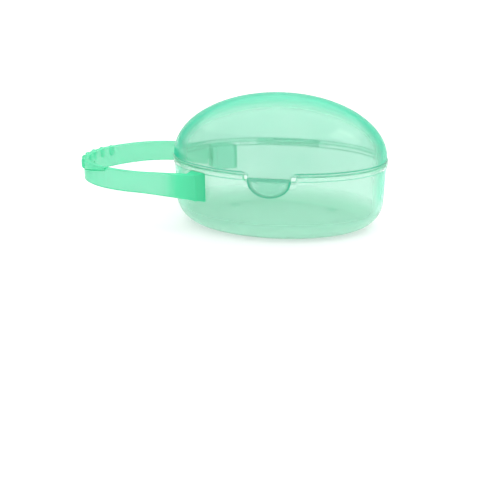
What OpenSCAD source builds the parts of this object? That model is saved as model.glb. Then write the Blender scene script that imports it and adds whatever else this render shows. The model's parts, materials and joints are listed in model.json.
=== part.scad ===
// Soother case: an oval tub with a domed, hinged lid and a carrying loop whose rear half opens as a gate.
// Frame: origin on the underside, at the centre of the oval. +X to the right, -Y to the latch, +Z up.

/* [Case] */
// Length of the case over its rim
case_len = 86; // [76:1:100]
// Width of the case over its rim
case_wid = 56.4; // [50:0.2:66]
// Height of the tub at its top face
tub_top = 26.6; // [24:0.2:32]
// Wall thickness of the tub
tub_wall = 1.4; // [1:0.1:2]
// Thickness of the tub's floor
floor_t = 1.5; // [1:0.1:2.5]
// How far the tub's wall sits inside its rim
rim_step = 0.5; // [0.3:0.1:1.5]
// Height of the tub's rim
rim_h = 1.8; // [1.2:0.1:3]
// Radius round the bottom edge of the tub
base_round = 11; // [6:0.5:14]
// Draft of the tub's wall, in degrees
wall_draft = 1.2; // [0:0.1:3]

/* [Lid] */
// Height of the dome above the lid's rim
dome_h = 24.6; // [18:0.2:30]
// Wall thickness of the lid
lid_wall = 1.3; // [1:0.1:2]
// Height of the lid's rim
lid_rim_h = 1.05; // [0.8:0.05:2]
// How far the dome sits inside the lid's rim
dome_step = 0.3; // [0.1:0.1:1]
// Gap between the closed lid and the tub
lid_gap = 0.15; // [0.1:0.05:0.4]

/* [Latch] */
// Width of the notch in the tub's rim
notch_w = 20.8; // [18:0.2:26]
// Width of the lid's neck in the notch
neck_w = 16.8; // [14:0.2:24]
// Width of the half-round thumb tab
tab_w = 16.4; // [12:0.2:20]
// Height of the thumb tab
tab_h = 7.4; // [5:0.2:9]
// Thickness of the thumb tab
tab_t = 1.2; // [1:0.1:2]
// How far the catch on the tub stands out
catch_out = 0.4; // [0.2:0.05:0.45]

/* [Lid hinge] */
// Length of the hinge, over its three knuckles
hinge_len = 27.2; // [20:0.2:34]
// Length of the lid's knuckle in the middle
lid_knuckle_len = 13.2; // [8:0.2:16]
// Outer radius of the knuckles
hinge_r = 1.25; // [1.1:0.05:1.6]
// Radius of the hinge pin
hinge_pin_r = 0.6; // [0.5:0.05:0.8]

/* [Carrying loop] */
// Distance from the case's centre to the loop's far end
loop_reach = 81; // [70:1:95]
// Outer half width of the loop
loop_half_w = 25.6; // [23:0.2:27]
// Outer radius of the loop's far end
tip_r = 19; // [15:0.5:22]
// Outer radius of the loop's sides
side_r = 38; // [32:1:50]
// Thickness of the loop's band
band_t = 2.2; // [1.8:0.1:3]
// Number of ribs of the thumb grip
rib_count = 6; // [4:1:7]
// Radius of a rib
rib_r = 1.2; // [0.8:0.1:1.4]

/* [Gate pivot] */
// Radius of the pivot's knuckle and ears
pivot_r = 1.75; // [1.5:0.05:2]
// Radius of the pivot pin
pivot_pin_r = 0.8; // [0.6:0.05:1]

/* [Hidden] */
$fn = 96;
MINT = [0.55, 0.93, 0.78, 0.75];
MINT_DEEP = [0.42, 0.90, 0.70, 0.85];

// oval of the rim, of the tub's wall and of the dome
rim_a = case_len / 2;
rim_b = case_wid / 2;
oval_k = rim_b / rim_a;
wall_a = rim_a - rim_step;
wall_b = rim_b - rim_step * oval_k;
dome_a = rim_a - dome_step;
dome_b = rim_b - dome_step;
flat_cut = 0.02;
rim_bottom = tub_top - rim_h;
lid_bottom = tub_top + lid_gap;
dome_base = lid_bottom + lid_rim_h;

// latch
neck_in = rim_b - lid_wall;
notch_floor = rim_bottom;
tab_in = wall_b + catch_out + 0.1;
tab_top = rim_bottom + 1.3;
tab_mid = tab_top - 1.2;
catch_half_w = 4.4;

// lid hinge, with its axis along X
hinge_y = rim_b + hinge_r + 0.45;
hinge_z = rim_bottom + hinge_r - 0.15;
running_gap = 0.05;
knuckle_gap = 0.3;
tub_knuckle_in = lid_knuckle_len / 2 + knuckle_gap;

// carrying loop, as arcs that meet in tangents
tip_x = tip_r - loop_reach;
side_y = side_r - loop_half_w;
side_x = tip_x + sqrt(pow(side_r - tip_r, 2) - pow(side_y, 2));
band_mid_y = loop_half_w - band_t / 2;
band_top = 25.2;
band_low = 17;
band_root_low = 14.8;
band_flare_low = 13.5;
band_tip_top = 24.6;
band_tip_low = 15.9;
root_x = -28.6;
root_end_x = -25.6;
rib_step = 4.77;
rib_first_y = -7.9;
rib_ring_r = tip_r - 0.3;
rib_top = band_tip_top + 0.45;

// scarf joint between the fixed arm's end and the gate's end, in the YZ plane
scarf_start_y = -20;
scarf_start_z = 24.2;
scarf_mid_y = -7.5;
tongue_top = 20.4;
tongue_end_y = 3;
scarf_gap = 0.25;

// gate pivot, with its axis along Z
pivot_x = -33;
pivot_y = band_mid_y;
ear_low_top = 17.9;
ear_high_low = 22.6;
ear_gap = 0.2;
ear_swing_r = pivot_r + 0.3;
gate_start_x = pivot_x - pivot_r - 0.55;
bracket_end_x = -21.5;

module oval(a, b, h) linear_extrude(h) scale([a, b]) circle(r = 1);

// half section of a tub: a drafted wall that meets the floor in an arc
module tub_section(r_top, low, high, round_r) {
    mid_r = round_r * cos(wall_draft);
    mid_z = low + round_r * (1 - sin(wall_draft));
    centre_r = r_top - mid_r - (high - mid_z) * tan(wall_draft);
    polygon([[0, low], [centre_r, low], [centre_r + mid_r, mid_z], [r_top, high], [0, high]]);
    intersection() {
        translate([centre_r, low + round_r]) circle(r = round_r);
        translate([0, low]) square([r_top, round_r]);
    }
}

// keeps what stands above a true flat plane at height z
module above(z) intersection() {
    children();
    translate([-60, -60, z]) cube([120, 120, 60]);
}

module tub_outside() above(0) scale([1, wall_b / wall_a, 1]) rotate_extrude()
    tub_section(wall_a, -flat_cut, tub_top, base_round);

module tub_inside() above(floor_t) scale([1, (wall_b - tub_wall) / (wall_a - tub_wall), 1]) rotate_extrude()
    tub_section(wall_a - tub_wall, floor_t - flat_cut, tub_top + 0.01, base_round - tub_wall);

module along_x(x0, x1) translate([x0, 0, 0]) rotate([90, 0, 90]) linear_extrude(x1 - x0) children();

module along_y(y0, y1) translate([0, y1, 0]) rotate([90, 0, 0]) linear_extrude(y1 - y0) children();

// one end knuckle of the tub's half of the hinge, from x0 to x1
module tub_knuckle(x0, x1) difference() {
    along_x(x0, x1) {
        translate([hinge_y, hinge_z]) circle(r = hinge_r);
        polygon([[rim_b - 2.6, rim_bottom], [hinge_y, hinge_z - hinge_r], [hinge_y, hinge_z], [rim_b - 2.6, hinge_z]]);
    }
    along_x(x0 - 1, x1 + 1) translate([hinge_y, hinge_z]) circle(r = hinge_pin_r);
}

module tub() color(MINT) {
    difference() {
        union() {
            tub_outside();
            translate([0, 0, rim_bottom]) oval(rim_a, rim_b, rim_h);
            for (side = [-1, 1]) {
                x0 = side < 0 ? -hinge_len / 2 : tub_knuckle_in;
                tub_knuckle(x0, x0 + hinge_len / 2 - tub_knuckle_in);
            }
        }
        tub_inside();
        translate([-notch_w / 2, -rim_b - 1, notch_floor]) cube([notch_w, 6, rim_h + 1]);
    }
    tub_catch();
    for (x = [-20.5, 20.5]) for (y = [-13, 13])
        translate([x, y, floor_t - 0.2]) cylinder(r = 2, h = 0.4);
}

// lens-shaped catch on the front of the tub, under the notch
module tub_catch() intersection() {
    translate([0, 0, notch_floor - 1.9]) difference() {
        oval(wall_a + catch_out, wall_b + catch_out, 1.6);
        translate([0, 0, -1]) oval(wall_a - 0.7, wall_b - 0.7, 4);
    }
    along_y(-rim_b - 3, 0) translate([0, notch_floor - 1.1]) scale([catch_half_w, 0.8]) circle(r = 1);
}

module lid() color(MINT) {
    difference() {
        union() {
            translate([0, 0, dome_base]) intersection() {
                scale([dome_a, dome_b, dome_h]) sphere(r = 1);
                oval(rim_a, rim_b, dome_h + 1);
            }
            translate([0, 0, lid_bottom]) oval(rim_a, rim_b, lid_rim_h);
            lid_knuckle();
        }
        translate([0, 0, dome_base])
            scale([dome_a - lid_wall, dome_b - lid_wall, dome_h - lid_wall]) sphere(r = 1);
        translate([0, 0, lid_bottom - 1])
            oval(dome_a - lid_wall, dome_b - lid_wall, lid_rim_h + 1);
    }
}

// the lid's middle knuckle, with the plate that carries it
module lid_knuckle() difference() {
    along_x(-lid_knuckle_len / 2, lid_knuckle_len / 2) {
        translate([hinge_y, hinge_z]) circle(r = hinge_r);
        polygon([
            [rim_b - 1.3, lid_bottom], [rim_b + 0.2, lid_bottom], [hinge_y, hinge_z],
            [hinge_y, hinge_z + hinge_r], [rim_b - 0.4, dome_base + 0.3], [rim_b - 1.3, dome_base]
        ]);
    }
    along_x(-lid_knuckle_len, lid_knuckle_len)
        translate([hinge_y, hinge_z]) circle(r = hinge_pin_r + running_gap);
}

// the neck that hangs from the lid's rim and the half-round tab on its outside
module thumb_tab() color(MINT_DEEP) {
    intersection() {
        translate([0, 0, notch_floor + lid_gap]) difference() {
            oval(rim_a, rim_b, rim_h);
            translate([0, 0, -1]) oval(rim_a - lid_wall, neck_in, rim_h + 2);
        }
        translate([-neck_w / 2, -rim_b - 1, 0]) cube([neck_w, 12, 50]);
    }
    intersection() {
        translate([0, 0, tab_top - tab_h]) difference() {
            oval(rim_a + tab_t, tab_in + tab_t, tab_h);
            translate([0, 0, -1]) oval(rim_a, tab_in, tab_h - 0.2);
            translate([0, 0, -1]) oval(rim_a - lid_wall, neck_in, tab_h + 2);
        }
        along_y(-rim_b - 5, 0) {
            translate([0, tab_mid]) scale([tab_w / 2, tab_h + tab_mid - tab_top]) circle(r = 1);
            translate([-tab_w / 2, tab_mid]) square([tab_w, 1.2]);
        }
    }
}

// plan of the loop's outer edge, moved inwards by inset: the far end's arc, the sides' arcs and straight arms
module loop_plan(inset) {
    join_x = tip_x - (side_x - tip_x) / (side_r - tip_r) * (tip_r - inset);
    translate([tip_x, 0]) circle(r = tip_r - inset);
    intersection() {
        translate([side_x, -side_y]) circle(r = side_r - inset);
        translate([side_x, side_y]) circle(r = side_r - inset);
        translate([join_x, -loop_half_w]) square([-join_x, 2 * loop_half_w]);
    }
    translate([side_x, inset - loop_half_w]) square([-side_x, 2 * (loop_half_w - inset)]);
}

// side view of the loop's band
module band_side() polygon([
    [-loop_reach - 2, band_tip_low], [-62, band_low - 0.2], [-50, band_low], [-29, band_root_low + 0.2],
    [root_end_x + 0.4, band_flare_low], [0, band_flare_low], [0, band_top], [-60, band_top],
    [-loop_reach - 2, band_tip_top]
]);

module loop_band() intersection() {
    linear_extrude(40) difference() {
        loop_plan(0);
        loop_plan(band_t);
    }
    along_y(-30, 30) band_side();
}

// the space of the fixed arm at the scarf joint, as seen along X, grown by gap
module scarf_side(gap) polygon([
    [-30, 0], [-30, 40], [scarf_start_y + gap, 40], [scarf_start_y + gap, scarf_start_z + gap],
    [scarf_mid_y + gap / 2, tongue_top + gap], [tongue_end_y + gap, tongue_top + gap], [tongue_end_y + gap, 0]
]);

module fixed_arm() color(MINT_DEEP) {
    intersection() {
        loop_band();
        translate([-90, -30, 0]) cube([90 + root_x, 40, 40]);
        along_x(-90, 0) scarf_side(0);
    }
    // the root, which turns in to the tub's wall
    intersection() {
        linear_extrude(40) polygon([
            [root_x - 0.1, -loop_half_w], [root_end_x, -22.4], [root_end_x, -21.4], [-31.6, -17.6],
            [-32.6, band_t - loop_half_w], [root_x - 0.1, band_t - loop_half_w]
        ]);
        along_y(-30, 0) band_side();
    }
}

// angle of rib i round the far end, from the end's middle
function rib_angle(i) = asin(rib_first_y / tip_r) + i * rib_step / tip_r * 180 / PI;

module gate_arm() color(MINT_DEEP) difference() {
    union() {
        difference() {
            intersection() {
                union() {
                    loop_band();
                    ribs();
                }
                translate([-90, -30, 0]) cube([90 + gate_start_x, 60, 40]);
            }
            along_x(-90, 0) scarf_side(scarf_gap);
            translate([-60, -30, 0]) cube([60, 30, 40]);
        }
        translate([pivot_x, pivot_y, ear_low_top + ear_gap])
            cylinder(r = pivot_r, h = ear_high_low - ear_low_top - 2 * ear_gap);
        translate([gate_start_x - 1, pivot_y - band_t / 2, ear_low_top + ear_gap])
            cube([pivot_x - gate_start_x + 1, band_t, ear_high_low - ear_low_top - 2 * ear_gap]);
    }
    translate([pivot_x, pivot_y, 0]) cylinder(r = pivot_pin_r + running_gap, h = 40);
}

// thumb ribs round the far end of the gate
module ribs() for (i = [0 : rib_count - 1])
    translate([tip_x - rib_ring_r * cos(rib_angle(i)), rib_ring_r * sin(rib_angle(i)), tongue_top + scarf_gap])
        cylinder(r = rib_r, h = rib_top - tongue_top - scarf_gap);

// two ears on a stem that leaves the tub's wall in line with the band
module gate_bracket() color(MINT_DEEP) difference() {
    union() {
        translate([pivot_x, pivot_y, band_root_low]) cylinder(r = pivot_r, h = band_top - band_root_low);
        translate([0, 0, band_root_low]) linear_extrude(band_top - band_root_low) polygon([
            [pivot_x, pivot_y - band_t / 2], [-29.5, 19.4], [bracket_end_x - 1, 22.6],
            [bracket_end_x, 23.6], [-24.5, pivot_y + band_t / 2], [pivot_x, pivot_y + band_t / 2]
        ]);
    }
    translate([pivot_x, pivot_y, ear_low_top]) cylinder(r = ear_swing_r, h = ear_high_low - ear_low_top);
    translate([pivot_x - 4, pivot_y - 4, ear_low_top]) cube([4, 8, ear_high_low - ear_low_top]);
    translate([pivot_x, pivot_y, 0]) cylinder(r = pivot_pin_r, h = 40);
}

module lid_hinge_pin() color(MINT_DEEP)
    along_x(-hinge_len / 2 + 0.2, hinge_len / 2 - 0.2) translate([hinge_y, hinge_z]) circle(r = hinge_pin_r);

module gate_pin() color(MINT_DEEP)
    translate([pivot_x, pivot_y, band_root_low + 0.2]) cylinder(r = pivot_pin_r, h = band_top - band_root_low - 0.4);

tub();
fixed_arm();
gate_bracket();
lid();
thumb_tab();
gate_arm();
lid_hinge_pin();
gate_pin();
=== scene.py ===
"""A translucent soother case: oval tub, domed lid with a thumb tab, and a carrying loop with a gate."""

import json
import math

import bmesh
import bpy
import numpy as np
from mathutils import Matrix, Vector


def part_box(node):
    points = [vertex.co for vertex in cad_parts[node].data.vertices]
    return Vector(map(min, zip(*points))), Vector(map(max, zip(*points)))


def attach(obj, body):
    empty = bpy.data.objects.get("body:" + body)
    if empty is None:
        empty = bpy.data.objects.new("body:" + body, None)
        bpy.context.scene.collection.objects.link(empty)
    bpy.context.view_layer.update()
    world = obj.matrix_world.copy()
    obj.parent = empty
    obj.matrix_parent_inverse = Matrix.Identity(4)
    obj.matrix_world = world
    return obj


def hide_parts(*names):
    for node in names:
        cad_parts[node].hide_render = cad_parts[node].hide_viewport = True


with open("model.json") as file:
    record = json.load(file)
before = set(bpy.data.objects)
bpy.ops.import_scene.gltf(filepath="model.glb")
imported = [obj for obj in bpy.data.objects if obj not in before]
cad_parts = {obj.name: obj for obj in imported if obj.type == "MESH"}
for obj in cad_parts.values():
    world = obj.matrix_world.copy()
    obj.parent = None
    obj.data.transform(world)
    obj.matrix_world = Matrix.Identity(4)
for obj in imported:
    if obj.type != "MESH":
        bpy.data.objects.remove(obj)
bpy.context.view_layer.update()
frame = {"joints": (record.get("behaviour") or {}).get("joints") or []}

MM = 0.001

# ---------------------------------------------------------------- sizes, in metres

LID_LOW, LID_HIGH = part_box("lid")
RIM_A, RIM_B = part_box("tub")[1].x, -LID_LOW.y
TUB_TOP = 26.6 * MM
RIM_BOTTOM = 24.8 * MM
TUB_WALL = 1.4 * MM
FLOOR = 1.5 * MM
RIM_STEP = 0.5 * MM
BASE_ROUND = 11 * MM
WALL_DRAFT = math.radians(1.2)
LID_WALL = 1.3 * MM
LID_BOTTOM = 26.75 * MM
DOME_BASE = 27.8 * MM
DOME_STEP = 0.3 * MM
DOME_H = LID_HIGH.z - DOME_BASE
NOTCH_HALF = 10.4 * MM
NECK_HALF = 8.4 * MM
NECK_BOTTOM = 24.95 * MM
EDGE = 0.25 * MM
FINE_EDGE = 0.1 * MM

OVAL_K = RIM_B / RIM_A
WALL_A = RIM_A - RIM_STEP
WALL_B = WALL_A * OVAL_K
DOME_A, DOME_B = RIM_A - DOME_STEP, RIM_B - DOME_STEP

TAB_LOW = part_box("thumb_tab")[0]
TAB_HALF = 8.2 * MM
TAB_T = 1.2 * MM
TAB_IN = 28.37 * MM
TAB_TOP = 26.1 * MM
TAB_MID = TAB_TOP - 1.2 * MM

HINGE_Y, HINGE_Z = Vector(frame["joints"][0]["pos_m"]).yz
HINGE_R = 1.25 * MM
HINGE_PIN_R = 0.6 * MM
HINGE_HALF = 13.6 * MM
LID_KNUCKLE_HALF = 6.6 * MM
KNUCKLE_GAP = 0.3 * MM

LOOP_REACH = 81 * MM
LOOP_HALF_W = 25.6 * MM
TIP_R = 19 * MM
SIDE_R = 38 * MM
BAND_T = 2.2 * MM
TIP_X = TIP_R - LOOP_REACH
SIDE_Y = SIDE_R - LOOP_HALF_W
SIDE_X = TIP_X + math.sqrt((SIDE_R - TIP_R) ** 2 - SIDE_Y ** 2)
ROOT_X = -28.6 * MM
TONGUE_TOP = 20.4 * MM
SCARF_GAP = 0.12 * MM
SCARF_HIGH = 24.1 * MM

PIVOT_X, PIVOT_Y = Vector(frame["joints"][1]["pos_m"]).xy
PIVOT_R = 1.75 * MM
PIVOT_PIN_R = 0.8 * MM
GATE_START_X = PIVOT_X - PIVOT_R - 0.55 * MM
GATE_KNUCKLE_LOW, GATE_KNUCKLE_HIGH = 18.1 * MM, 22.4 * MM
PAD_X, PAD_Y, PAD_R, PAD_H = 20.5 * MM, 13 * MM, 2 * MM, 0.2 * MM
CATCH_HALF, CATCH_HALF_H, CATCH_Z = 4.4 * MM, 0.8 * MM, 23.7 * MM

RIB_COUNT, RIB_R, RIB_STEP, RIB_FIRST_Y, RIB_TOP = 6, 1.2 * MM, 4.77 * MM, -7.9 * MM, 25.05 * MM
RIBS_HALF_W = 15.2 * MM
PIN_PLAY = 0.05 * MM


# ---------------------------------------------------------------- making meshes

def add_object(name, mesh):
    made = bpy.data.objects.new(name, mesh)
    bpy.context.scene.collection.objects.link(made)
    return made


def finish_mesh(shape):
    """Merges doubles, drops edges of no length and turns the faces outwards."""
    bmesh.ops.remove_doubles(shape, verts=shape.verts, dist=1e-7)
    bmesh.ops.dissolve_degenerate(shape, edges=shape.edges, dist=1e-7)
    bmesh.ops.recalc_face_normals(shape, faces=shape.faces)


def mesh_object(name, shape):
    finish_mesh(shape)
    mesh = bpy.data.meshes.new(name)
    shape.to_mesh(mesh)
    shape.free()
    return add_object(name, mesh)


def skin_rings(name, rings, start_pole=None, end_pole=None):
    """A closed skin over rings of equally many points, with a pole or a flat cap at either end."""
    shape = bmesh.new()
    rows = [[shape.verts.new(p) for p in ring] for ring in rings]
    count = len(rows[0])
    for row, following in zip(rows, rows[1:]):
        for i in range(count):
            j = (i + 1) % count
            shape.faces.new((row[i], row[j], following[j], following[i]))
    for row, pole in ((rows[0], start_pole), (rows[-1], end_pole)):
        if pole is None:
            shape.faces.new(row)
        else:
            tip = shape.verts.new(pole)
            for i in range(count):
                shape.faces.new((row[i], row[(i + 1) % count], tip))
    return mesh_object(name, shape)


def combine(base, others, operation="UNION"):
    """One solid out of base and others, which are used up."""
    for other in others:
        step = base.modifiers.new(operation.title(), "BOOLEAN")
        step.operation = operation
        step.solver = "EXACT"
        step.object = other
    return bake_modifiers(base, others)


def bake_modifiers(base, used_up=()):
    """Turns an object's modifiers into a plain mesh and removes the helpers."""
    view = bpy.context.evaluated_depsgraph_get()
    view.update()
    mesh = bpy.data.meshes.new_from_object(base.evaluated_get(view))
    base.modifiers.clear()
    old = base.data
    base.data = mesh
    mesh.name = base.name
    bpy.data.meshes.remove(old)
    for helper in used_up:
        bpy.data.objects.remove(helper)
    return base


def smooth(piece, sharp_degrees=35):
    piece.data.shade_smooth()
    piece.data.set_sharp_from_angle(angle=math.radians(sharp_degrees))


def arc(centre, radius, start, end, steps):
    """Points (r, z) along an arc, with angles in degrees."""
    turns = np.radians(np.linspace(start, end, steps + 1))
    return [(centre[0] + radius * math.cos(t), centre[1] + radius * math.sin(t)) for t in turns]


# ---------------------------------------------------------------- ovals

def oval_angles(breaks, count=176):
    """Angles round an oval, with extra columns at the x of each break on the front."""
    extra = [-math.pi / 2 + side * math.asin(x / RIM_A) for x in breaks for side in (-1, 1)]
    even = [-math.pi + 2 * math.pi * i / count for i in range(count)]
    even = [t for t in even if min(abs(t - e) for e in extra) > 0.006]
    return sorted(even + extra)


def cut_share(angle, half_width, ramp=0.3 * MM):
    """1 inside a gap of the front rim, 0 outside it, with a short ramp between them."""
    if math.sin(angle) > 0:
        return 0.0
    across = abs(RIM_A * math.cos(angle))
    return min(max((half_width - across) / ramp, 0.0), 1.0)


def oval_rings(angles, whole, cut, half_width):
    """Rings of an oval shell; each profile point is (a, b, z), and cut replaces whole inside the gap."""
    rings = []
    for (a0, b0, z0), (a1, b1, z1) in zip(whole, cut):
        ring = []
        for t in angles:
            s = cut_share(t, half_width)
            a, b, z = a0 + (a1 - a0) * s, b0 + (b1 - b0) * s, z0 + (z1 - z0) * s
            ring.append((a * math.cos(t), b * math.sin(t), z))
        rings.append(ring)
    return rings


def tub_profile(top_a, low, high, round_r, steps=16):
    """Radii and heights of the tub's section: flat floor, arc, drafted wall."""
    mid_r = round_r * math.cos(WALL_DRAFT)
    mid_z = low + round_r * (1 - math.sin(WALL_DRAFT))
    centre = top_a - mid_r - (high - mid_z) * math.tan(WALL_DRAFT)
    floor = [(centre * share, low) for share in (0.12, 0.4, 0.7, 0.93)]
    bend = arc((centre, low + round_r), round_r, -90, -math.degrees(WALL_DRAFT), steps)
    wall = [(mid_r + centre + (z - mid_z) * math.tan(WALL_DRAFT), z) for z in np.linspace(mid_z, high, 7)[1:]]
    return floor + bend + wall


def make_tub_shell():
    wall_top = RIM_BOTTOM - 1.2 * MM
    lean = math.tan(WALL_DRAFT)
    out_top = WALL_A - (TUB_TOP - wall_top) * lean
    outside = [(r, r * OVAL_K, z) for r, z in tub_profile(out_top, 0, wall_top, BASE_ROUND)]
    in_k = (WALL_B - TUB_WALL) / (WALL_A - TUB_WALL)
    in_top = WALL_A - TUB_WALL - (TUB_TOP - wall_top) * lean
    inside = [(r, r * in_k, z) for r, z in tub_profile(in_top, FLOOR, wall_top, BASE_ROUND - TUB_WALL)]

    def lip(points):
        return [(r, r * OVAL_K, z) for r, z in points]

    top_in = WALL_A - TUB_WALL
    rim = lip(
        arc((WALL_A + EDGE, RIM_BOTTOM - EDGE), EDGE, 180, 90, 3)
        + arc((RIM_A - EDGE, RIM_BOTTOM + EDGE), EDGE, -90, 0, 3)
        + [(RIM_A, RIM_BOTTOM + 1.6 * EDGE), (RIM_A, TUB_TOP - 1.6 * EDGE)]
        + arc((RIM_A - FINE_EDGE, TUB_TOP - FINE_EDGE), FINE_EDGE, 0, 90, 3)
    ) + [(r, r * in_k, z) for r, z in arc((top_in + EDGE, TUB_TOP - EDGE), EDGE, 90, 180, 3)]
    low_z = np.linspace(wall_top + 0.1 * MM, RIM_BOTTOM - 0.3 * MM, 10)
    notch = lip([(WALL_A, z) for z in low_z] + arc((WALL_A - EDGE, RIM_BOTTOM - EDGE), EDGE, 0, 90, 3))
    notch += [(r, r * in_k, z) for r, z in arc((top_in + EDGE, RIM_BOTTOM - EDGE), EDGE, 90, 180, 3)]
    whole = outside + rim + inside[::-1]
    cut = outside + notch + inside[::-1]
    angles = oval_angles([NOTCH_HALF, NOTCH_HALF - 0.3 * MM])
    return skin_rings("tub_moulding", oval_rings(angles, whole, cut, NOTCH_HALF), (0, 0, 0), (0, 0, FLOOR))


def dome_points(a, b, height, base, lowest, steps):
    """Points (a, b, z) down a half-ellipsoid from near its top to the height lowest above the base."""
    end = math.asin(lowest / height)
    turns = np.linspace(math.pi / 2, end, steps + 1)[1:]
    return [(a * math.cos(t), b * math.cos(t), base + height * math.sin(t)) for t in turns]


def make_lid_shell():
    outside = dome_points(DOME_A, DOME_B, DOME_H, DOME_BASE, 0.5 * MM, 44)
    inside = dome_points(DOME_A - LID_WALL, DOME_B - LID_WALL, DOME_H - LID_WALL, DOME_BASE, 0.3 * MM, 40)
    step = 0.12 * MM

    def ringed(points, b_shift):
        return [(r, r - RIM_A + RIM_B + b_shift, z) for r, z in points]

    in_r = DOME_A - LID_WALL
    rim = ringed(
        arc((DOME_A + step, DOME_BASE + step), step, 180, 270, 2)
        + arc((RIM_A - EDGE, DOME_BASE - EDGE), EDGE, 90, 0, 3)
        + [(RIM_A, LID_BOTTOM + 1.6 * EDGE)]
        + arc((RIM_A - FINE_EDGE, LID_BOTTOM + FINE_EDGE), FINE_EDGE, 0, -90, 3)
        + arc((in_r + EDGE, LID_BOTTOM + EDGE), EDGE, -90, -180, 3), 0)
    neck_out = []
    for i, s in enumerate(np.linspace(0.1, 1, 8)):
        drop = DOME_BASE + (0.3 - 1.1 * i) * 0.4 * MM
        neck_out.append((DOME_A + (RIM_A - DOME_A) * s, DOME_B + (RIM_B - DOME_B) * s, drop))
    neck = neck_out + ringed(
        arc((RIM_A - EDGE, NECK_BOTTOM + EDGE), EDGE, 0, -90, 3)
        + arc((in_r + EDGE, NECK_BOTTOM + EDGE), EDGE, -90, -180, 3), 0)
    whole = outside + rim + inside[::-1]
    cut = outside + neck + inside[::-1]
    angles = oval_angles([NECK_HALF, NECK_HALF - 0.3 * MM])
    top = DOME_BASE + DOME_H
    rings = oval_rings(angles, whole, cut, NECK_HALF)
    return skin_rings("lid_moulding", rings, (0, 0, top), (0, 0, top - LID_WALL))


# ---------------------------------------------------------------- small solids

def prism(name, outline, low, high, axis="z", bevel=0.0):
    """A straight prism over an outline, along x or z, with rounded edges where bevel says so."""
    def place(u, v, w):
        return (w, u, v) if axis == "x" else (u, v, w)

    shape = bmesh.new()
    lower = [shape.verts.new(place(u, v, low)) for u, v in outline]
    upper = [shape.verts.new(place(u, v, high)) for u, v in outline]
    shape.faces.new(lower)
    shape.faces.new(upper)
    for i in range(len(outline)):
        j = (i + 1) % len(outline)
        shape.faces.new((lower[i], lower[j], upper[j], upper[i]))
    made = mesh_object(name, shape)
    if bevel:
        rounding = made.modifiers.new("Rounding", "BEVEL")
        rounding.width = bevel
        rounding.segments = 3
        rounding.limit_method = "ANGLE"
        rounding.angle_limit = math.radians(40)
        bake_modifiers(made)
    return made


def round_outline(centre, radius, count=40, start=0.0, end=360.0):
    turns = np.radians(np.linspace(start, end, count, endpoint=end - start < 360))
    return [(centre[0] + radius * math.cos(t), centre[1] + radius * math.sin(t)) for t in turns]


def plate_on_oval(name, outline, centre, back_b, thickness, edge):
    """A plate that hugs the front of the oval, with a rounded edge; outline and centre are (x, z)."""
    def on_oval(x, z, depth):
        return (x, -(back_b + depth) * math.sqrt(1 - (x / RIM_A) ** 2), z)

    half_span = max(math.dist(p, centre) for p in outline)
    rings = []
    turns = np.radians(np.linspace(-90, 90, 9))
    profile = [(0.12, 0), (0.45, 0), (0.75, 0)]
    profile += [(1 - edge / half_span * (1 - math.cos(t)), thickness / 2 * (1 + math.sin(t))) for t in turns]
    profile += [(0.95, thickness), (0.9, thickness), (0.75, thickness), (0.45, thickness), (0.12, thickness)]
    for share, depth in profile:
        rings.append([on_oval(centre[0] + (x - centre[0]) * share, centre[1] + (z - centre[1]) * share, depth)
                      for x, z in outline])
    return skin_rings(name, rings, on_oval(*centre, 0), on_oval(*centre, thickness))


# ---------------------------------------------------------------- the loop's band

def eased(x, points, reach=3 * MM):
    """A polyline's height at x, with its corners eased over reach."""
    xs, zs = zip(*points)
    near = np.linspace(x - reach, x + reach, 13)
    return float(np.mean(np.interp(near, xs, zs)))


BAND_LOW = [(-83 * MM, 15.9 * MM), (-62 * MM, 16.8 * MM), (-50 * MM, 17 * MM), (-29 * MM, 15 * MM),
            (-25.2 * MM, 13.5 * MM), (0, 13.5 * MM)]
BAND_TOP = [(-83 * MM, 24.6 * MM), (-60 * MM, 25.2 * MM), (0, 25.2 * MM)]
MID_TIP_R, MID_SIDE_R = TIP_R - BAND_T / 2, SIDE_R - BAND_T / 2
JOIN_TURN = math.asin(SIDE_Y / (SIDE_R - TIP_R))
TIP_LENGTH = MID_TIP_R * JOIN_TURN
SIDE_LENGTH = MID_SIDE_R * (math.pi / 2 - JOIN_TURN)


def loop_station(s):
    """Point and outward direction on the centre line, s from the far end's middle, positive to the rear."""
    side, run = (1 if s >= 0 else -1), abs(s)
    if run <= TIP_LENGTH:
        turn = run / MID_TIP_R
        x, y = TIP_X - MID_TIP_R * math.cos(turn), MID_TIP_R * math.sin(turn)
    elif run <= TIP_LENGTH + SIDE_LENGTH:
        turn = JOIN_TURN + (run - TIP_LENGTH) / MID_SIDE_R
        x, y = SIDE_X - MID_SIDE_R * math.cos(turn), MID_SIDE_R * math.sin(turn) - SIDE_Y
    else:
        turn = math.pi / 2
        x, y = SIDE_X + run - TIP_LENGTH - SIDE_LENGTH, LOOP_HALF_W - BAND_T / 2
    return Vector((x, side * y)), Vector((-math.cos(turn), side * math.sin(turn)))


def run_to_x(x):
    """Distance along the centre line from the far end to x on a straight arm."""
    return TIP_LENGTH + SIDE_LENGTH + x - SIDE_X


def run_to_y(y):
    """Distance along the centre line to the width y on the far end."""
    found = 0.0
    while abs(loop_station(found)[0].y) < abs(y):
        found += 0.05 * MM
    return math.copysign(found, y)


def band_ring(point, outward, low, high, corner=0.4 * MM):
    """Section of the band: a rectangle with rounded corners."""
    half_t = BAND_T / 2
    r = min(corner, (high - low) / 2.2, half_t * 0.95)
    ring = []
    for u, v, start in ((half_t - r, high - r, 0), (-half_t + r, high - r, 90),
                        (-half_t + r, low + r, 180), (half_t - r, low + r, 270)):
        for t in np.radians(np.linspace(start, start + 90, 5)):
            across, z = u + r * math.cos(t), v + r * math.sin(t)
            ring.append((point.x + outward.x * across, point.y + outward.y * across, z))
    return ring


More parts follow.
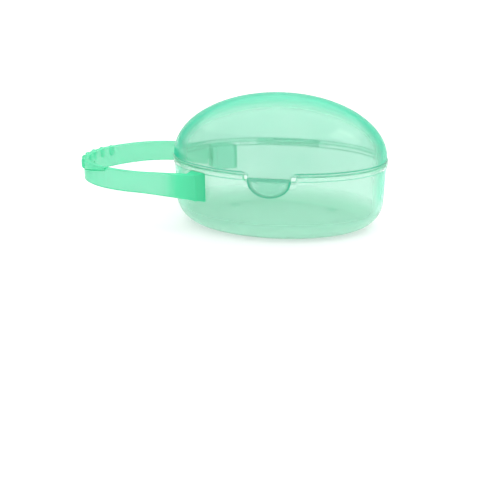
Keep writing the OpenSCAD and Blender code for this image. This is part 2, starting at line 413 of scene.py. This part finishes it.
def band(name, stations):
    """Sweeps the band over stations, each (s, low, high) with None for the loop's own height."""
    rings = []
    for s, low, high in stations:
        point, outward = loop_station(s)
        low = eased(point.x, BAND_LOW) if low is None else low
        high = eased(point.x, BAND_TOP) if high is None else high
        rings.append(band_ring(point, outward, low, high))
    return skin_rings(name, rings)


def make_fixed_arm():
    tongue_end, level = run_to_y(2.9 * MM), run_to_y(-7.5 * MM)
    slope_start = run_to_y(-20 * MM)
    stations = [(s, None, TONGUE_TOP) for s in np.linspace(tongue_end, level, 10)]
    slope = np.linspace(level, slope_start, 16)[1:]
    stations += [(s, None, TONGUE_TOP + (SCARF_HIGH - TONGUE_TOP) * i / 15) for i, s in enumerate(slope, 1)]
    rest = np.linspace(slope_start - 0.3 * MM, -run_to_x(ROOT_X), 44)
    stations += [(s, None, None) for s in rest]
    return band("fixed_arm", stations)


def make_gate_band():
    end, level = run_to_y(-19.8 * MM), run_to_y(-7.4 * MM)
    step = run_to_y(3.2 * MM)
    stations = []
    for i, s in enumerate(np.linspace(end, level, 16)):
        start = SCARF_HIGH + SCARF_GAP
        stations.append((s, start + (TONGUE_TOP + SCARF_GAP - start) * i / 15, None))
    stations += [(s, TONGUE_TOP + SCARF_GAP, None) for s in np.linspace(level, step, 10)[1:]]
    stations += [(s, None, None) for s in np.linspace(step + 0.2 * MM, run_to_x(GATE_START_X), 54)]
    return band("gate_arm_moulding", stations)


# ---------------------------------------------------------------- repeated shapes, by Geometry Nodes

def repeat_tree(name):
    """A node tree that sets copies of its input on a ring or a row and joins them into one mesh.

    Copy i stands on the ring at First Angle + i * Step Angle and is moved by i * Shift."""
    tree = bpy.data.node_groups.new(name, "GeometryNodeTree")
    face = tree.interface
    face.new_socket("Geometry", in_out="INPUT", socket_type="NodeSocketGeometry")
    for label, kind in (("Count", "NodeSocketInt"), ("Ring Radius", "NodeSocketFloat"),
                        ("First Angle", "NodeSocketFloat"), ("Step Angle", "NodeSocketFloat"),
                        ("Centre", "NodeSocketVector"), ("Shift", "NodeSocketVector"),
                        ("Finish", "NodeSocketMaterial")):
        face.new_socket(label, in_out="INPUT", socket_type=kind)
    face.new_socket("Geometry", in_out="OUTPUT", socket_type="NodeSocketGeometry")

    def node(kind, settings=None, **inputs):
        made = tree.nodes.new(kind)
        for key, value in (settings or {}).items():
            setattr(made, key, value)
        for key, value in inputs.items():
            target = made.inputs[int(key[1:])] if key[1:].isdigit() else made.inputs[key.replace("_", " ")]
            if isinstance(value, bpy.types.NodeSocket):
                tree.links.new(value, target)
            else:
                target.default_value = value
        return made

    start = node("NodeGroupInput").outputs
    row = node("GeometryNodeMeshLine", Count=start["Count"], Offset=(0, 0, 0))
    index = node("GeometryNodeInputIndex").outputs[0]
    turned = node("ShaderNodeMath", {"operation": "MULTIPLY_ADD"},
                  i0=index, i1=start["Step Angle"], i2=start["First Angle"])
    cosine = node("ShaderNodeMath", {"operation": "COSINE"}, i0=turned.outputs[0])
    sine = node("ShaderNodeMath", {"operation": "SINE"}, i0=turned.outputs[0])
    across = node("ShaderNodeMath", {"operation": "MULTIPLY"}, i0=cosine.outputs[0], i1=start["Ring Radius"])
    along = node("ShaderNodeMath", {"operation": "MULTIPLY"}, i0=sine.outputs[0], i1=start["Ring Radius"])
    ring = node("ShaderNodeCombineXYZ", X=across.outputs[0], Y=along.outputs[0])
    moved = node("ShaderNodeVectorMath", {"operation": "SCALE"}, Vector=start["Shift"], Scale=index)
    spot = node("ShaderNodeVectorMath", {"operation": "ADD"}, i0=ring.outputs[0], i1=moved.outputs[0])
    place = node("ShaderNodeVectorMath", {"operation": "ADD"}, i0=spot.outputs[0], i1=start["Centre"])
    points = node("GeometryNodeSetPosition", Geometry=row.outputs[0], Position=place.outputs[0])
    facing = node("ShaderNodeCombineXYZ", Z=turned.outputs[0])
    copies = node("GeometryNodeInstanceOnPoints", Points=points.outputs[0], Instance=start["Geometry"],
                  Rotation=facing.outputs[0])
    real = node("GeometryNodeRealizeInstances", Geometry=copies.outputs[0])
    painted = node("GeometryNodeSetMaterial", Geometry=real.outputs[0], Material=start["Finish"])
    node("NodeGroupOutput", Geometry=painted.outputs[0])
    return tree


def repeat(seed_object, finish, **inputs):
    """Runs the repeat tree on an object and leaves a plain mesh."""
    tree = bpy.data.node_groups.get("repeat_on_path") or repeat_tree("repeat_on_path")
    step = seed_object.modifiers.new("Repeat", "NODES")
    step.node_group = tree
    names = {item.name: item.identifier for item in tree.interface.items_tree if item.in_out == "INPUT"}
    for label, value in {**inputs, "Finish": finish}.items():
        step[names[label.replace("_", " ")]] = value
    return bake_modifiers(seed_object)


# ---------------------------------------------------------------- materials

class Wire:
    """A number or colour on its way through a material; arithmetic on it adds Math nodes."""

    def __init__(self, finish, socket):
        self.finish, self.socket = finish, socket

    def _with(self, operation, first, second):
        return self.finish.node("ShaderNodeMath", {"operation": operation}, {0: first, 1: second})

    def __add__(self, other):
        return self._with("ADD", self, other)

    def __sub__(self, other):
        return self._with("SUBTRACT", self, other)

    def __mul__(self, other):
        return self._with("MULTIPLY", self, other)

    def __rsub__(self, other):
        return self._with("SUBTRACT", other, self)

    __radd__ = __add__
    __rmul__ = __mul__


class Finish:
    """A material under construction, with one method that adds any node."""

    def __init__(self, name):
        self.material = bpy.data.materials.new(name)
        self.material.use_nodes = True
        self.tree = self.material.node_tree
        self.tree.nodes.clear()

    def node(self, kind, settings=None, inputs=None, output=0):
        made = self.tree.nodes.new(kind)
        for key, value in (settings or {}).items():
            setattr(made, key, value)
        for key, value in (inputs or {}).items():
            if isinstance(value, Wire):
                self.tree.links.new(value.socket, made.inputs[key])
            else:
                made.inputs[key].default_value = value
        return Wire(self, made.outputs[output])

    def mix(self, share, first, second):
        """A colour between first and second."""
        return self.node("ShaderNodeMix", {"data_type": "RGBA"}, {"Factor": share, 6: first, 7: second}, 2)

    def noise(self, scale, detail=3.0, roughness=0.5):
        place = self.node("ShaderNodeTexCoord", output="Object")
        return self.node("ShaderNodeTexNoise", None, {"Vector": place, "Scale": scale, "Detail": detail,
                                                      "Roughness": roughness})

    def close(self, surface, volume=None):
        inputs = {"Surface": surface}
        if volume is not None:
            inputs["Volume"] = volume
        out = self.tree.nodes.new("ShaderNodeOutputMaterial")
        for key, value in inputs.items():
            self.tree.links.new(value.socket, out.inputs[key])
        return self.material


# Dark teal for painted shade along the rim's lower edge, the dome crease, the tab's edge, the thumb ribs and
# round the gate's pivot; the ejector pads' tops get it too and are darker there
SHADE_AND_PAD_TEAL = (0.05, 0.55, 0.34, 1)
MELT = (0.25, 0.95, 0.70, 1)
CLEAR_MELT = (0.25, 0.97, 0.72, 1)
GLASS_IOR, SKIN_IOR = 1.40, 1.49
EDGE_ON, FACE_ON = 0.68, 0.32


def tinted_plastic(name, pale, deep, milk, edge, rough, milky, density, melt=MELT, glowing=0.4):
    """Translucent moulded plastic: clear seen square on, milkier towards its edges and where it is thick.

    The tint drifts with the flow of the melt, and the gloss with a fine grain."""
    finish = Finish(name)
    flow = finish.noise(42, 2.0)
    grain = finish.noise(850, 4.0, 0.6)
    marks = finish.node("ShaderNodeAttribute", {"attribute_name": "mould"}, output="Vector")
    depth, shade_and_pads, cloud = (finish.node("ShaderNodeSeparateXYZ", None, {0: marks}, i) for i in range(3))
    facing = finish.node("ShaderNodeLayerWeight", None, {"Blend": 0.5}, output="Facing")
    rim = depth * finish.node("ShaderNodeMapRange", {"interpolation_type": "SMOOTHSTEP"},
                              {"Value": facing, "From Min": FACE_ON, "From Max": EDGE_ON})
    tint = finish.mix(flow, pale, deep)
    # The body goes towards the dark teal where the mould's second share says so: painted shade, and darker
    # pad tops
    body = finish.mix(shade_and_pads, finish.mix(rim, milk, edge), SHADE_AND_PAD_TEAL)
    gloss = rough + (grain - 0.5) * (rough * 0.8)
    relief = flow + grain * 0.03
    bump = finish.node("ShaderNodeBump", None, {"Strength": 0.10, "Distance": 0.0003, "Height": relief})
    glass = finish.node("ShaderNodeBsdfPrincipled", None, {
        "Base Color": tint, "Roughness": gloss, "IOR": GLASS_IOR, "Transmission Weight": 1.0, "Normal": bump})
    skin = finish.node("ShaderNodeBsdfPrincipled", None, {
        "Base Color": body, "Roughness": gloss + 0.12, "IOR": SKIN_IOR, "Normal": bump})
    glow = finish.node("ShaderNodeBsdfTranslucent", None, {"Color": body, "Normal": bump})
    haze = finish.node("ShaderNodeMixShader", None, {"Fac": glowing, 1: skin, 2: glow})
    share = milky + (flow - 0.5) * 0.12 + rim * 0.6 + shade_and_pads * 0.6 + cloud * 0.35
    surface = finish.node("ShaderNodeMixShader", None, {"Fac": share, 1: glass, 2: haze})
    volume = finish.node("ShaderNodeVolumeAbsorption", None, {"Color": melt, "Density": density})
    return finish.close(surface, volume)


# The lid and the tub stay at a quarter milky or less: above that, thin wavy lines come up on them.
MINT_LID = tinted_plastic(
    "clear_mint_lid", pale=(0.875, 0.945, 0.92, 1), deep=(0.835, 0.935, 0.91, 1),
    milk=(0.37, 0.90, 0.69, 1), edge=(0.02, 0.74, 0.47, 1), rough=0.07, milky=0.25, density=44)
MINT_TUB = tinted_plastic(
    "clear_mint_tub", pale=(0.92, 0.997, 0.97, 1), deep=(0.89, 0.995, 0.96, 1),
    milk=(0.62, 0.998, 0.83, 1), edge=(0.04, 0.90, 0.56, 1), rough=0.07, milky=0.22, density=26,
    melt=CLEAR_MELT, glowing=0.25)
MINT_TAB = tinted_plastic(
    "clear_mint_tab", pale=(0.90, 0.99, 0.96, 1), deep=(0.86, 0.985, 0.95, 1),
    milk=(0.42, 0.99, 0.77, 1), edge=(0.05, 0.86, 0.55, 1), rough=0.08, milky=0.24, density=50,
    glowing=0.25)
MINT_STEM = tinted_plastic(
    "mint_stem", pale=(0.86, 0.99, 0.95, 1), deep=(0.82, 0.985, 0.94, 1),
    milk=(0.34, 0.998, 0.76, 1), edge=(0.05, 0.90, 0.58, 1), rough=0.16, milky=0.26, density=18,
    melt=CLEAR_MELT, glowing=0.85)
MINT_BAND = tinted_plastic(
    "mint_band", pale=(0.64, 0.78, 0.74, 1), deep=(0.60, 0.77, 0.72, 1),
    milk=(0.13, 0.91, 0.555, 1), edge=(0.02, 0.76, 0.43, 1), rough=0.12, milky=0.46, density=80)
MINT_PIN = tinted_plastic(
    "mint_pin", pale=(0.70, 0.97, 0.90, 1), deep=(0.60, 0.95, 0.86, 1),
    milk=(0.07, 0.72, 0.45, 1), edge=(0.08, 0.80, 0.50, 1), rough=0.18, milky=0.80, density=60)


def mark_moulding(piece, rule):
    """Stores three shares at every point: deeper tint at edges, painted shade along creases and edges (and
    darker pad tops), and cloudiness.
    """
    values = piece.data.attributes.new("mould", "FLOAT_VECTOR", "POINT").data
    for vertex, value in zip(piece.data.vertices, values):
        value.vector = rule(vertex.co)


def dress(piece, material, rule=lambda place: (0.3, 0, 0)):
    piece.data.materials.clear()
    piece.data.materials.append(material)
    mark_moulding(piece, rule)
    smooth(piece)


def on_rim(place):
    return math.hypot(place.x / RIM_A, place.y / RIM_B) > 0.975


def in_front_gap(place, half_width):
    return place.y < 0 and abs(place.x) < half_width


def tub_marks(place):
    low = 1.2 * min(max((8.5 * MM - place.z) / (6 * MM), 0.0), 1.0)
    if place.z < BASE_ROUND * 0.4:
        raised = FLOOR + 0.5 * PAD_H < place.z < FLOOR + 1.25 * PAD_H
        on_pad = raised and math.hypot(place.x, place.y) < 28 * MM
        # The ejector pads' raised tops are darker
        return 0, 0.6 * on_pad, low
    if place.y > RIM_B + 0.1 * MM:
        return 0, 0, 0
    if on_rim(place) and place.z > RIM_BOTTOM - 0.1 * MM and not in_front_gap(place, NOTCH_HALF):
        # Painted shade: a dark line along the rim's lower edge
        return 0, 0.8 * (place.z < RIM_BOTTOM + 1.2 * EDGE), 0.2 + 0.8 * (place.z > TUB_TOP - EDGE)
    return 0.8 * min(max(place.z / BASE_ROUND - 0.4, 0.0), 1.0), 0, low


def lid_marks(place):
    if place.z > DOME_BASE + 0.3 * MM:
        return 1, 0, 0
    if place.y > RIM_B + 0.1 * MM:
        return 0, 0, 0
    if in_front_gap(place, NECK_HALF + 0.8 * MM):
        return 0.2, 0, 0
    if on_rim(place):
        # Painted shade: a dark line in the crease where the dome meets the rim
        return 0, 0.9 * (place.z > DOME_BASE - 0.05 * MM), 0.2 + 0.8 * (place.z < LID_BOTTOM + EDGE)
    return 0, 0, 0.1


def tab_marks(place):
    across = math.hypot(place.x / TAB_HALF, min(place.z - TAB_MID, 0) / (TAB_MID - TAB_LOW.z))
    if place.z < TAB_MID:
        # Painted shade along the tab's rounded lower edge
        return 0, 1.4 * (across > 0.925), 0
    # Above its middle the tab is tinted half way to the dark teal, darker towards the top
    return 0, 0.5, 0.1


def band_marks(place):
    """The band gets cloudier at its root, round the gate's pivot and on the thumb ribs, which also get a
    little painted shade.
    """
    start = -41 * MM if place.y < 0 else -35.5 * MM
    solid = min(max((place.x - start) / (5 * MM), 0.0), 1.0)
    proud = math.hypot(place.x - TIP_X, place.y) > TIP_R + 0.35 * MM
    if place.x < TIP_X and abs(place.y) < RIBS_HALF_W and proud:
        # Painted shade on the thumb ribs
        return 0.4, 0.15, 0.6
    return 0.4, 0, 0.9 * solid


def bracket_marks(place):
    near_pivot = math.hypot(place.x - PIVOT_X, place.y - PIVOT_Y) < PIVOT_R + 0.1 * MM
    # Painted shade round the gate's pivot, where the knuckle sits between the ears
    return 0, 0.2 * near_pivot, 0.3 + 0.4 * near_pivot


# ---------------------------------------------------------------- the tub's moulding

def hinge_barrel(name, start, end, plate):
    """A knuckle's barrel and the plate that carries it; plate is an outline in (y, z)."""
    barrel = prism(name, round_outline((HINGE_Y, HINGE_Z), HINGE_R), start, end, "x", 0.15 * MM)
    arm = prism(name + "_plate", plate, start + 0.05 * MM, end - 0.05 * MM, "x")
    return combine(barrel, [arm])


def make_tub():
    shell = make_tub_shell()
    added = []
    tub_plate = [(RIM_B - 2.0 * MM, RIM_BOTTOM + 0.02 * MM), (HINGE_Y, HINGE_Z - HINGE_R), (HINGE_Y, HINGE_Z),
                 (RIM_B - 2.0 * MM, HINGE_Z)]
    inner = LID_KNUCKLE_HALF + KNUCKLE_GAP
    for start, end in ((-HINGE_HALF, -inner), (inner, HINGE_HALF)):
        added.append(hinge_barrel("tub_knuckle", start, end, tub_plate))
    turns = np.linspace(0, 2 * math.pi, 40)[:-1]
    catch = [(CATCH_HALF * math.cos(t), CATCH_Z + CATCH_HALF_H * math.sin(t)) for t in turns]
    added.append(plate_on_oval("catch", catch, (0, CATCH_Z), WALL_B - 0.5 * MM, 0.88 * MM, 0.3 * MM))
    return combine(shell, added)


def make_arm():
    """The loop's fixed half, with the root that turns in to the tub's wall."""
    low, high = 14.85 * MM, 25.18 * MM
    root = [(ROOT_X - 0.3 * MM, -LOOP_HALF_W), (-25.6 * MM, -22.4 * MM), (-25.6 * MM, -21.4 * MM),
            (-31.6 * MM, -17.8 * MM), (-32.6 * MM, BAND_T - LOOP_HALF_W),
            (ROOT_X - 0.3 * MM, BAND_T - LOOP_HALF_W)]
    block = prism("arm_root", root, low, high, "z", 0.25 * MM)
    for vertex in block.data.vertices:
        if vertex.co.z < low + MM:
            vertex.co.z += float(np.interp(vertex.co.x, *zip(*BAND_LOW))) - low + 0.02 * MM
    return combine(make_fixed_arm(), [block])


def make_bracket():
    """Two ears that hold the gate's knuckle, on a stem that leaves the tub's wall in line with the band."""
    low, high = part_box("gate_bracket")
    stem = [(PIVOT_X, PIVOT_Y - BAND_T / 2), (-29.5 * MM, 19.4 * MM), (-22.5 * MM, 22.6 * MM),
            (-21.5 * MM, 23.6 * MM), (-24.5 * MM, PIVOT_Y + BAND_T / 2), (PIVOT_X, PIVOT_Y + BAND_T / 2)]
    barrel = prism("gate_ears", round_outline((PIVOT_X, PIVOT_Y), PIVOT_R), low.z, high.z, "z", 0.25 * MM)
    bracket = combine(barrel, [prism("stem", stem, low.z, high.z, "z", 0.25 * MM)])
    gap_low, gap_high = 17.9 * MM, 22.6 * MM
    swing = prism("swing_space", round_outline((PIVOT_X, PIVOT_Y), PIVOT_R + 0.3 * MM), gap_low, gap_high)
    reach = [(PIVOT_X - 4 * MM, PIVOT_Y - 4 * MM), (PIVOT_X, PIVOT_Y - 4 * MM), (PIVOT_X, PIVOT_Y + 4 * MM),
             (PIVOT_X - 4 * MM, PIVOT_Y + 4 * MM)]
    bore = prism("bore", round_outline((PIVOT_X, PIVOT_Y), PIVOT_PIN_R), low.z - MM, high.z + MM)
    return combine(bracket, [swing, prism("swing_side", reach, gap_low, gap_high), bore], "DIFFERENCE")


def make_pads(finish):
    pad = prism("ejector_pads", round_outline((0, 0), PAD_R), FLOOR - PAD_H, FLOOR + PAD_H, "z", 0.06 * MM)
    ring = math.hypot(PAD_X, PAD_Y)
    first = math.atan2(PAD_Y, PAD_X)
    pads = []
    for angle in (first, math.pi - first):
        seed = add_object("ejector_pad", pad.data.copy())
        pads.append(repeat(seed, finish, Count=2, Ring_Radius=ring, First_Angle=angle, Step_Angle=math.pi))
    bpy.data.objects.remove(pad)
    return pads


tub = combine(make_tub(), make_pads(MINT_TUB))
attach(tub, "tub")
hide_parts("tub")
dress(tub, MINT_TUB, tub_marks)

for piece, node, material, marks in ((make_arm(), "fixed_arm", MINT_BAND, band_marks),
                                     (make_bracket(), "gate_bracket", MINT_STEM, bracket_marks)):
    piece.name = node + "_moulding"
    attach(piece, "tub")
    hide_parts(node)
    dress(piece, material, marks)


# ---------------------------------------------------------------- the lid's moulding

def make_lid():
    shell = make_lid_shell()
    plate_low = LID_BOTTOM + 0.02 * MM
    plate = [(RIM_B - 1.2 * MM, plate_low), (RIM_B + 0.2 * MM, plate_low), (HINGE_Y, HINGE_Z),
             (HINGE_Y, HINGE_Z + HINGE_R), (RIM_B - 0.4 * MM, DOME_BASE + 0.3 * MM),
             (RIM_B - 1.2 * MM, DOME_BASE)]
    knuckle = hinge_barrel("lid_knuckle", -LID_KNUCKLE_HALF, LID_KNUCKLE_HALF, plate)
    depth = TAB_MID - TAB_LOW.z
    turns = np.radians(np.linspace(180, 360, 41))
    half_round = [(TAB_HALF * math.cos(t), TAB_MID + depth * math.sin(t)) for t in turns]
    top = [(TAB_HALF - 0.4 * MM * (1 - math.sin(t)), TAB_TOP - 0.4 * MM * (1 - math.cos(t)))
           for t in np.radians(np.linspace(90, 0, 5))]
    outline = half_round + top + [(-x, z) for x, z in reversed(top)]
    tab = plate_on_oval("tab", outline, (0, TAB_MID - 1.5 * MM), TAB_IN, TAB_T - 0.02 * MM, 0.35 * MM)
    half, low, high = TAB_HALF - 0.6 * MM, 25.2 * MM, 25.9 * MM
    bridge = [(-half, low), (half, low), (half, high), (-half, high)]
    neck_join = plate_on_oval("neck_join", bridge, (0, 25.55 * MM), RIM_B - 0.6 * MM, 1.2 * MM, 0.1 * MM)
    return combine(shell, [knuckle]), combine(tab, [neck_join])


lid, tab = make_lid()
bore = prism("bore", round_outline((HINGE_Y, HINGE_Z), HINGE_PIN_R + PIN_PLAY), -9 * MM, 9 * MM, "x")
lid = combine(lid, [bore], "DIFFERENCE")
tab.name = "thumb_tab_moulding"
for piece, node in ((lid, "lid"), (tab, "thumb_tab")):
    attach(piece, "lid")
    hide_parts(node)
dress(tab, MINT_TAB, tab_marks)
dress(lid, MINT_LID, lid_marks)


# ---------------------------------------------------------------- the gate

def capsule(name, radius, low, high):
    """An upright rod with round ends."""
    turns = np.radians(np.linspace(-80, 0, 6))
    heights = [(radius * math.cos(t), low + radius * (1 + math.sin(t))) for t in turns]
    heights += [(r, high + low - z) for r, z in reversed(heights)]
    rings = [[(r * math.cos(t), r * math.sin(t), z) for t in np.linspace(0, 2 * math.pi, 24, endpoint=False)]
             for r, z in heights]
    return skin_rings(name, rings, (0, 0, low), (0, 0, high))


def make_gate():
    gate = make_gate_band()
    low, high = GATE_KNUCKLE_LOW, GATE_KNUCKLE_HIGH
    knuckle = prism("gate_knuckle", round_outline((PIVOT_X, PIVOT_Y), PIVOT_R), low, high, "z", 0.2 * MM)
    web_x = GATE_START_X - 0.8 * MM
    inner, outer = PIVOT_Y - BAND_T / 2 + 0.1 * MM, PIVOT_Y + BAND_T / 2 - 0.1 * MM
    web_outline = [(web_x, inner), (PIVOT_X, inner), (PIVOT_X, outer), (web_x, outer)]
    web = prism("gate_web", web_outline, low, high, "z", 0.2 * MM)
    rib = capsule("thumb_ribs", RIB_R, TONGUE_TOP + SCARF_GAP, RIB_TOP)
    first = math.asin(RIB_FIRST_Y / TIP_R)
    ribs = repeat(rib, MINT_BAND, Count=RIB_COUNT, Ring_Radius=TIP_R - 0.3 * MM, First_Angle=math.pi - first,
                  Step_Angle=-RIB_STEP / TIP_R, Centre=(TIP_X, 0, 0))
    gate = combine(gate, [knuckle, web, ribs])
    bore = prism("bore", round_outline((PIVOT_X, PIVOT_Y), PIVOT_PIN_R + PIN_PLAY), 15 * MM, 26 * MM, "z")
    return combine(gate, [bore], "DIFFERENCE")


gate = make_gate()
gate.name = "gate_moulding"
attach(gate, "gate")
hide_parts("gate_arm")
dress(gate, MINT_BAND, band_marks)


# ---------------------------------------------------------------- the pins

def make_pins():
    low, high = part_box("lid_hinge_pin")
    outline = round_outline((HINGE_Y, HINGE_Z), HINGE_PIN_R - 0.01 * MM)
    lid_pin = prism("lid_pin", outline, low.x, high.x, "x", 0.1 * MM)
    low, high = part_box("gate_pin")
    outline = round_outline((PIVOT_X, PIVOT_Y), PIVOT_PIN_R - 0.01 * MM)
    gate_pin = prism("gate_pivot_pin", outline, low.z, high.z, "z", 0.1 * MM)
    for pin, node in ((lid_pin, "lid_hinge_pin"), (gate_pin, "gate_pin")):
        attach(pin, "tub")
        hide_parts(node)
        dress(pin, MINT_PIN)


make_pins()


# ---------------------------------------------------------------- floor, light and camera

def plain_paint(name, colour, own_light):
    finish = Finish(name)
    return finish.close(finish.node("ShaderNodeBsdfPrincipled", None, {
        "Base Color": colour, "Roughness": 0.9, "Specular IOR Level": 0.1,
        "Emission Color": (1, 1, 1, 1), "Emission Strength": own_light}))


SKY_LIGHT, SKY_SEEN = 0.76, 1.0


def make_stage():
    """A pale floor with a little light of its own, under an even sky that looks whiter than it shines."""
    shape = bmesh.new()
    bmesh.ops.create_grid(shape, x_segments=1, y_segments=1, size=6)
    bmesh.ops.translate(shape, verts=shape.verts, vec=(0, 0, -0.15 * MM))
    floor = mesh_object("floor", shape)
    floor.data.materials.append(plain_paint("floor_paint", (0.58, 0.58, 0.58, 1), 0.36))
    world = bpy.data.worlds.new("studio")
    bpy.context.scene.world = world
    world.use_nodes = True
    backdrop = world.node_tree.nodes["Background"]
    backdrop.inputs["Color"].default_value = (1, 1, 1, 1)
    paths = world.node_tree.nodes.new("ShaderNodeLightPath")
    seen = world.node_tree.nodes.new("ShaderNodeMapRange")
    seen.inputs["To Min"].default_value, seen.inputs["To Max"].default_value = SKY_LIGHT, SKY_SEEN
    world.node_tree.links.new(paths.outputs["Is Camera Ray"], seen.inputs["Value"])
    world.node_tree.links.new(seen.outputs[0], backdrop.inputs["Strength"])


def add_softbox(name, place, aim, size, power):
    light = bpy.data.lights.new(name, "AREA")
    light.shape = "RECTANGLE"
    light.size, light.size_y = size
    light.energy = power
    box = bpy.data.objects.new(name, light)
    bpy.context.scene.collection.objects.link(box)
    box.location = place
    box.rotation_euler = (Vector(aim) - Vector(place)).to_track_quat("-Z", "Y").to_euler()


def add_soft_sun(name, towards, strength, spread):
    """Even light from one side of the sky, spread over a wide angle so that its shadows are soft."""
    light = bpy.data.lights.new(name, "SUN")
    light.energy, light.angle = strength, math.radians(spread)
    sun = bpy.data.objects.new(name, light)
    bpy.context.scene.collection.objects.link(sun)
    sun.rotation_euler = (-Vector(towards)).to_track_quat("-Z", "Y").to_euler()


def make_camera():
    """Seen a little from the right and from above, at arm's length."""
    turn, rise, distance = math.radians(7.7), math.radians(15.0), 0.350
    middle = Vector((0, 0, DOME_BASE))
    level = math.cos(rise)
    place = middle + distance * Vector((math.sin(turn) * level, -math.cos(turn) * level, math.sin(rise)))
    aim = Vector((-0.0096, -0.0135, -0.0085))
    data = bpy.data.cameras.new("camera")
    data.lens, data.sensor_width = 62.64, 36
    data.clip_start = 0.01
    camera = bpy.data.objects.new("camera", data)
    bpy.context.scene.collection.objects.link(camera)
    camera.location = place
    camera.rotation_euler = (aim - place).to_track_quat("-Z", "Y").to_euler()
    bpy.context.scene.camera = camera


make_stage()
add_soft_sun("overhead", (-0.04, 0.30, 1.0), 1.75, 100)
add_softbox("side", (0.55, -0.05, 0.60), (0, 0, 0.03), (0.35, 0.35), 0.6)
make_camera()
bpy.context.scene.view_settings.view_transform = "Standard"
bpy.context.scene.view_settings.exposure = 0.2
bpy.context.scene.cycles.max_bounces = 32
bpy.context.scene.cycles.transmission_bounces = 32
